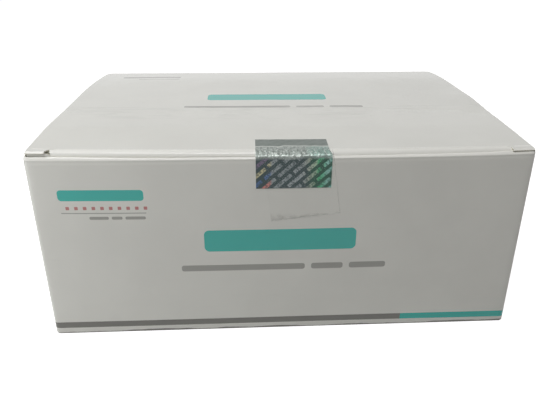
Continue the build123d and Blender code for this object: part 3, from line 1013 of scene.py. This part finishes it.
def fold_lid(sheet, outline):
    """The hinge and the lid up to its front fold."""
    shape, sizes = sheet.shape, sheet.shape.sizes
    columns = list(reversed(outline.lid_columns))
    roots = outline.rear(0.0)
    hinge_center = shape.hinge_z - sizes.hinge_fold
    rows = [at_height(roots, z) for z in steps(shape.lip_z, hinge_center, 1 * MM)]
    wear = [WEAR_AND_HIGHLIGHT["rear wall"]] * len(rows)
    for turn in QUARTER_TURN[1:]:
        y = shape.hinge_y + sizes.hinge_fold * math.cos(turn)
        z = hinge_center + sizes.hinge_fold * math.sin(turn)
        rows.append([(x, y, z) for x, _ in roots])
        wear.append(WEAR_AND_HIGHLIGHT["hinge"])
    for y in steps(shape.hinge_y, shape.fold_y, 1.4 * MM)[1:]:
        spread = smooth(0, 4 * MM, shape.hinge_y - y)
        xs = [between(root[0], x, spread) for root, x in zip(roots, columns)]
        rows.append([(shape.lid_edge(x, y), y, shape.lid_height(x, y)) for x in xs])
        # Lighter line along the crease and whitened band just before the tuck fold: painted
        # highlight, with some wear at the fold
        at_crease = WEAR_AND_HIGHLIGHT["crease"] * bell(y, shape.ridge_y, 1.2 * MM)
        wear.append(max(at_crease, WEAR_AND_HIGHLIGHT["tuck fold"] * bell(y, shape.fold_y, 1.4 * MM)))
    sheet.grid(rows, wear)


def fold_corners(sheet, outline):
    """The lid's corners beyond the slits, which stay in its plane."""
    shape, sizes = sheet.shape, sheet.shape.sizes
    near_cut = shape.tab_front + 1 * MM
    ys = steps(shape.fold_y, near_cut, 0.3 * MM) + steps(near_cut, shape.tab_front, 0.1 * MM)[1:]
    for side in (1, -1):
        edge = [x for x in reversed(outline.lid_columns) if side * x > shape.slit_end - 0.01 * MM]
        rows, wear = [], []
        for y in ys:
            cut = (shape.fold_y - y) / (shape.fold_y - shape.tab_front) * shape.notch(side)
            row = []
            for x in edge:
                beyond = (abs(x) - shape.slit_end) / sizes.slit_length
                moved = side * (abs(x) + cut * (1 - beyond))
                row.append((shape.lid_edge(moved, y), y, shape.lid_height(moved, y)))
            rows.append(row)
            # The rolled strip along each corner's cut edge is fully worn, which whitens it as a
            # painted highlight
            wear.append(1 - smooth(0.5 * MM, 1.1 * MM, y - shape.tab_front))
        sheet.grid(rows, wear)


def fold_tuck(sheet, outline):
    """The fold between the slits, the tuck flap and its shoulders."""
    shape, sizes = sheet.shape, sheet.shape.sizes
    middle = [x for x in reversed(outline.lid_columns) if abs(x) < shape.slit_end + 0.01 * MM]
    rows = []
    turns = steps(math.pi / 2 + sizes.facet_tilt, math.pi, math.radians(11))
    for i, turn in enumerate(turns):
        y = shape.fold_y + sizes.tuck_fold * math.cos(turn)
        row = []
        for x in middle:
            z = shape.fold_center(x) + sizes.tuck_fold * math.sin(turn)
            narrow = 1 - shape.notch(x) / 2 / shape.slit_end * i / (len(turns) - 1)
            row.append((x * narrow, y, shape.lid_height(x, shape.fold_y) if i == 0 else z))
        rows.append(row)
    flap_low = sizes.wall_height - sizes.tuck_depth
    down_flap = steps(0, 1, 0.2)
    for share in down_flap[1:]:
        rows.append([(x, y, between(z, flap_low, share)) for x, y, z in rows[len(turns) - 1]])
    wear = [WEAR_AND_HIGHLIGHT["tuck fold"]] * len(turns)
    sheet.grid(rows, wear + [0.0] * (len(rows) - len(turns)))

    for side in (1, -1):
        edge_x = shape.slit_end - shape.notch(side) / 2
        reach = steps(edge_x, shape.slit_end + sizes.shoulder_length, 1 * MM)
        xs = [side * x for x in (reversed(reach) if side > 0 else reach)]
        rows = [[]]
        for x in xs:
            past_slit = smooth(0.5 * MM, 3 * MM, abs(x) - edge_x)
            cut_down = 0.4 * shape.notch(side) * (1 - past_slit)
            top = shape.lid_height(x, shape.tuck_face) - sizes.board - 0.15 * MM - cut_down
            rows[0].append((x, shape.tuck_face, max(top, shape.fold_center(x) + 0.1 * MM)))
        for share in down_flap:
            row = [between(shape.fold_center(x), flap_low, share) for x in xs]
            rows.append([(x, shape.tuck_face, z) for x, z in zip(xs, row)])
        sheet.grid(rows)


def fold_dust_flaps(sheet, outline):
    """The two flaps that run from the side walls in under the lid."""
    shape, sizes = sheet.shape, sheet.shape.sizes
    under = sizes.board + 0.25 * MM
    cut_rear = shape.rear - 5 * MM
    turns = steps(sizes.lip_lean, math.radians(80), math.radians(9))
    inset = sizes.lip_radius * (1 - math.cos(turns[-1]))
    crest = shape.lip_z + sizes.lip_radius * math.sin(turns[-1])
    start_x = shape.half_width - inset
    end_x = shape.lid_half - sizes.dust_flap_slope

    def below_lid(x, y, z):
        reach = min(abs(x), shape.lid_half)
        lid = shape.lid_height(math.copysign(reach, x), y) - under
        sprung = 1.1 * MM * (1 - smooth(shape.front, shape.front + 22 * MM, y))
        return (x, y, min(z + sprung * smooth(shape.lip_z, crest, z), lid))

    for side in (-1, 1):
        rows = []
        for turn in turns:
            z = shape.lip_z + sizes.lip_radius * math.sin(turn)
            around = outline.side(side, sizes.lip_radius * (1 - math.cos(turn)))
            rows.append([below_lid(x, y, z) for x, y in around])
        for x in steps(start_x, end_x - 12 * MM, 2 * MM)[1:]:
            trim = smooth(0, 4 * MM, start_x - x)
            rise = min(1.0, (start_x - x) / (start_x - end_x))
            behind_flap = 1 - smooth(shape.slit_end - 1 * MM, shape.slit_end, x)
            cut_front = shape.tuck_face + between(0.9 * MM, 1.6 * MM, behind_flap)
            row = []
            for wall_x, wall_y in outline.side(side, inset):
                share = (wall_y + outline.straight_y) / (2 * outline.straight_y)
                y = between(wall_y, between(cut_front, cut_rear, share), trim)
                near = between(abs(wall_x) - start_x, 0, min(1, 3 * rise))
                lid = shape.lid_height(side * x, y) - under
                row.append(below_lid(side * (x + near), y, between(crest, lid, rise)))
            rows.append(row)
        wear = [WEAR_AND_HIGHLIGHT["dust flap"]] * len(turns) + [0.0] * (len(rows) - len(turns))
        if side < 0:
            rows = [list(reversed(row)) for row in rows]
        sheet.grid(rows, wear)


def fold_bottom(sheet, outline):
    """The snap-lock bottom: outer front flap with its tongue, two side flaps and the rear flap."""
    shape, sizes = sheet.shape, sheet.shape.sizes
    rim = 3 * MM
    root = sizes.bottom_fold
    shoulder_y = shape.front + sizes.front_flap_reach
    tongue_y = shoulder_y + sizes.tongue_reach
    narrow = (shape.half_width - rim - sizes.board) / outline.straight_x

    def front_row(y, columns, width, z=0.0):
        return [(x * width, y, z) for x in columns]

    rows = [front_row(shape.front + root, outline.along_x, 1.0)]
    for y in steps(shape.front + root, shoulder_y, 3 * MM)[1:]:
        width = between(1.0, narrow, smooth(0, 2 * rim, y - shape.front - root))
        rows.append(front_row(y, outline.along_x, width))
    sheet.grid(list(reversed(rows)))
    tongue = [x for x in outline.along_x if abs(x) * narrow < sizes.tongue_width / 2]
    rows = []
    for y in steps(shoulder_y, tongue_y, 2 * MM):
        share = (y - shoulder_y) / sizes.tongue_reach
        dip = 3 * sizes.board * smooth(tongue_y - 8 * MM, tongue_y, y)
        rows.append(front_row(y, tongue, narrow * between(1, 0.9, share), dip))
    sheet.grid(list(reversed(rows)))

    start_x = shape.half_width - rim
    end_x = shape.half_width - sizes.side_flap_reach
    along = [i / (len(outline.along_y) - 1) for i in range(len(outline.along_y))]
    for side in (-1, 1):
        rows = [at_height(outline.side(side, root), 0.0)]
        for x in steps(start_x, end_x, 3 * MM):
            share = (start_x - x) / (start_x - end_x)
            rear_y = shape.rear - rim - (sizes.side_flap_bevel - rim) * share
            row = [(side * x, between(shape.front + rim, rear_y, at)) for at in along]
            rows.append(at_height(row, 1.1 * sizes.board))
        if side < 0:
            rows = [list(reversed(row)) for row in rows]
        sheet.grid(list(reversed(rows)))

    columns = [x for x, _ in outline.rear(root)]
    rows = [[(x, shape.rear - root, 0.0) for x in columns]]
    for y in steps(shape.rear - rim, shape.rear - sizes.rear_flap_reach, 4 * MM):
        rows.append([(x * 0.985, y, 2.2 * sizes.board) for x in columns])
    sheet.grid(list(reversed(rows)))


def cover_path(shape, x, clear, lid_y, start_turn, wall_z, pitch):
    """Points of a strip that lies on the lid, round its fold, taut to the lip and down the wall.

    Each point is (y, z, distance from the lip's crest along the strip). A strip with no lid_y
    begins at start_turn round the fold.
    """
    sizes = shape.sizes
    center = shape.fold_center(x)
    fold_radius, lip_radius = sizes.tuck_fold + clear, sizes.lip_radius + clear
    lip_y = shape.front + sizes.lip_radius
    crest_y = lip_y - lip_radius * math.cos(sizes.lip_lean)
    crest_z = shape.lip_z + lip_radius * math.sin(sizes.lip_lean)
    across, up = shape.fold_y - crest_y, crest_z - center
    reach = fold_radius / math.hypot(across, up)
    leave = math.pi - math.atan2(up, across) - math.acos(min(1.0, reach))
    points = []
    if lid_y is not None:
        start_turn = math.pi / 2 + sizes.facet_tilt
        rise = clear / math.cos(sizes.facet_tilt)
        ys = steps(lid_y, shape.fold_y, pitch)[:-1]
        points += [(y, shape.facet_height(x, y) + rise) for y in ys]
    for turn in steps(start_turn, leave, math.radians(8)):
        y, z = fold_radius * math.cos(turn), fold_radius * math.sin(turn)
        points.append((shape.fold_y + y, center + z))
    leave_y, leave_z = points[-1]
    for share in (0.25, 0.5, 0.75):
        points.append((between(leave_y, crest_y, share), between(leave_z, crest_z, share)))
    crest_at = len(points)
    for turn in steps(math.pi - sizes.lip_lean, math.pi, math.radians(9)):
        y, z = lip_radius * math.cos(turn), lip_radius * math.sin(turn)
        points.append((lip_y + y, shape.lip_z + z))
    points += [(shape.front - clear, z) for z in steps(shape.lip_z, wall_z, pitch)[1:]]
    lengths = [0.0]
    for a, b in zip(points, points[1:]):
        lengths.append(lengths[-1] + math.hypot(b[0] - a[0], b[1] - a[1]))
    return [(y, z, lengths[crest_at] - at) for (y, z), at in zip(points, lengths)]


class CARTON_OT_blank(bpy.types.Operator):
    """Fold the carton's board blank: walls, lid, tuck flap, dust flaps and snap-lock bottom"""

    bl_idname = "carton.blank"
    bl_label = "Fold Blank"

    def execute(self, context):
        sizes = context.scene.carton_blank
        shape = Folded(sizes)
        outline = Outline(shape, 2.1 * MM)
        sheet = Sheet(shape)
        for fold in (
            fold_walls, fold_lid, fold_corners, fold_tuck, fold_dust_flaps, fold_bottom,
        ):
            fold(sheet, outline)
        materials = [
            coated_board(sizes, context.scene.carton_print),
            fibre_board("board_inside", sizes.board_inside),
            fibre_board("board_cut_edge", sizes.board_core),
        ]
        blank = sheet.finish("board_blank", sizes.board, materials)
        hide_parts("carton")
        return {"FINISHED"}


class CARTON_OT_seal(bpy.types.Operator):
    """Stick the foil seal over the lid's front fold"""

    bl_idname = "carton.seal"
    bl_label = "Stick Foil Seal"

    def execute(self, context):
        films = context.scene.carton_films
        shape = Folded(context.scene.carton_blank)
        clear = films.glue_line + films.foil
        lid_y = shape.front + films.seal_on_lid
        columns, flat = [], []
        for x in steps(seal_low.x, seal_high.x, 0.3 * MM):
            across = (x - seal_low.x) / (seal_high.x - seal_low.x)
            column, spots = [], []
            for y, z, at in cover_path(shape, x, clear, lid_y, None, seal_low.z, 0.45 * MM):
                creased = smooth(-1 * MM, 0.5 * MM, at) * (1 - smooth(5.5 * MM, 7 * MM, at))
                folds = abs(ripple(x, at, 1, 520, 260, 1.7))
                lift = (0.03 + 0.2 * creased * (1 - 2 * folds)) * MM
                skew = films.seal_skew * across * smooth(0.2 * MM, 3 * MM, at)
                column.append((x - skew, y - lift * 0.7, z + max(0.0, lift) * 0.7))
                spots.append(((x - seal_low.x) / MM, at / MM))
            columns.append(reversed(column))
            flat.append(reversed(spots))
        sheet = Sheet(shape)
        sheet.grid(list(zip(*columns)), flat=list(zip(*flat)))
        seal = sheet.finish("foil_seal", films.foil, [seal_foil(films)])
        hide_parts("tamper_seal")
        return {"FINISHED"}


class CARTON_OT_tape(bpy.types.Operator):
    """Stick the clear tape over the seal"""

    bl_idname = "carton.tape"
    bl_label = "Stick Clear Tape"

    def execute(self, context):
        films = context.scene.carton_films
        shape = Folded(context.scene.carton_blank)
        clear = 2 * films.glue_line + films.foil + films.tape
        cos, sin = math.cos(films.tape_turn), math.sin(films.tape_turn)
        crest = shape.sizes.wall_height
        half = films.tape_width / 2
        start_turn = math.pi / 2 + films.tape_start
        columns, spots = [], []
        for across in steps(-half, half, 0.35 * MM):
            tooth = films.tooth_depth * (0.5 + ripple(across, 0.3, 0.5, 900, 1, 0))
            down = -films.tape_on_wall - across * math.tan(films.tear_slope) + tooth
            wall_z = crest + across * sin + down * cos
            x = films.tape_offset + across * cos
            column = []
            for y, z, at in cover_path(shape, x, clear, None, start_turn, wall_z, 1 * MM):
                along = (z - crest - across * sin) / cos
                column.append((x - along * sin, y - 0.05 * MM * bell(at, 1.5 * MM, 2 * MM), z))
            columns.append(column)
            spots.append((across / MM, 0.0))
        # All columns get as many points as the shortest has, and keep their torn ends
        count = min(len(column) for column in columns)
        columns = [column[: count - 1] + [column[-1]] for column in columns]
        rows = list(zip(*[reversed(column) for column in columns]))
        sheet = Sheet(shape)
        sheet.grid(rows, [1.0] + [0.0] * (len(rows) - 1), [spots] * len(rows))
        tape = sheet.finish("clear_tape_strip", films.tape, [tape_film(films)])
        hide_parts("clear_tape")
        return {"FINISHED"}


class CARTON_OT_stage(bpy.types.Operator):
    """Set up the floor, the lamps and the camera"""

    bl_idname = "carton.stage"
    bl_label = "Set Stage"

    def execute(self, context):
        scene, stage = context.scene, context.scene.carton_stage
        sheet = bmesh.new()
        bmesh.ops.create_grid(sheet, x_segments=8, y_segments=8, size=6.0)
        data = bpy.data.meshes.new("studio_floor")
        sheet.to_mesh(data)
        sheet.free()
        data.materials.append(floor_material(stage))
        floor = bpy.data.objects.new("studio_floor", data)
        scene.collection.objects.link(floor)
        floor.location.z = -0.05 * MM

        for name, place, width, height in LAMPS:
            light = bpy.data.lights.new(f"{name}_lamp", "AREA")
            light.shape = "RECTANGLE"
            light.energy = getattr(stage, f"{name}_power")
            light.size, light.size_y = width, height
            lamp = bpy.data.objects.new(f"{name}_lamp", light)
            lamp.location = place
            aim = Vector((0, 0, 0.05)) - lamp.location
            lamp.rotation_euler = aim.to_track_quat("-Z", "Y").to_euler()
            scene.collection.objects.link(lamp)
        scene.world = sky_world(stage)

        camera = bpy.data.cameras.new("camera")
        camera.lens, camera.sensor_width = stage.focal_length, 36.0
        camera.sensor_fit = "HORIZONTAL"
        camera.clip_start, camera.clip_end = 0.01, 50.0
        seat = bpy.data.objects.new("camera", camera)
        seat.location = stage.camera_place
        turn = (Vector(stage.camera_aim) - seat.location).to_track_quat("-Z", "Y")
        seat.rotation_mode = "QUATERNION"
        seat.rotation_quaternion = turn @ Quaternion((0, 0, 1), stage.camera_roll)
        scene.collection.objects.link(seat)
        scene.camera = seat
        scene.view_settings.view_transform = "Standard"
        return {"FINISHED"}


class CARTON_PT_panel(bpy.types.Panel):
    """Sizes, colours and steps of the carton"""

    bl_label = "Test Kit Carton"
    bl_idname = "CARTON_PT_panel"
    bl_space_type = "VIEW_3D"
    bl_region_type = "UI"
    bl_category = "Carton"

    def draw(self, context):
        layout = self.layout
        for operator in OPERATORS:
            layout.operator(operator.bl_idname)
        for name, group in GROUPS.items():
            box = layout.box()
            box.label(text=group.__doc__)
            for prop in group.__annotations__:
                box.prop(getattr(context.scene, name), prop)


GROUPS = {
    "carton_blank": BlankSizes,
    "carton_print": PrintColours,
    "carton_films": FilmSizes,
    "carton_stage": StageSettings,
}
OPERATORS = (CARTON_OT_blank, CARTON_OT_seal, CARTON_OT_tape, CARTON_OT_stage)


def register():
    for group in GROUPS.values():
        bpy.utils.register_class(group)
    for operator in OPERATORS:
        bpy.utils.register_class(operator)
    bpy.utils.register_class(CARTON_PT_panel)
    for name, group in GROUPS.items():
        setattr(bpy.types.Scene, name, PointerProperty(type=group))


def unregister():
    for name in GROUPS:
        delattr(bpy.types.Scene, name)
    bpy.utils.unregister_class(CARTON_PT_panel)
    for operator in reversed(OPERATORS):
        bpy.utils.unregister_class(operator)
    for group in reversed(GROUPS.values()):
        bpy.utils.unregister_class(group)


def main():
    """Builds the carton and its stage."""
    register()
    bpy.ops.carton.stage()
    bpy.ops.carton.blank()
    bpy.ops.carton.seal()
    bpy.ops.carton.tape()


if __name__ == "__main__":
    main()
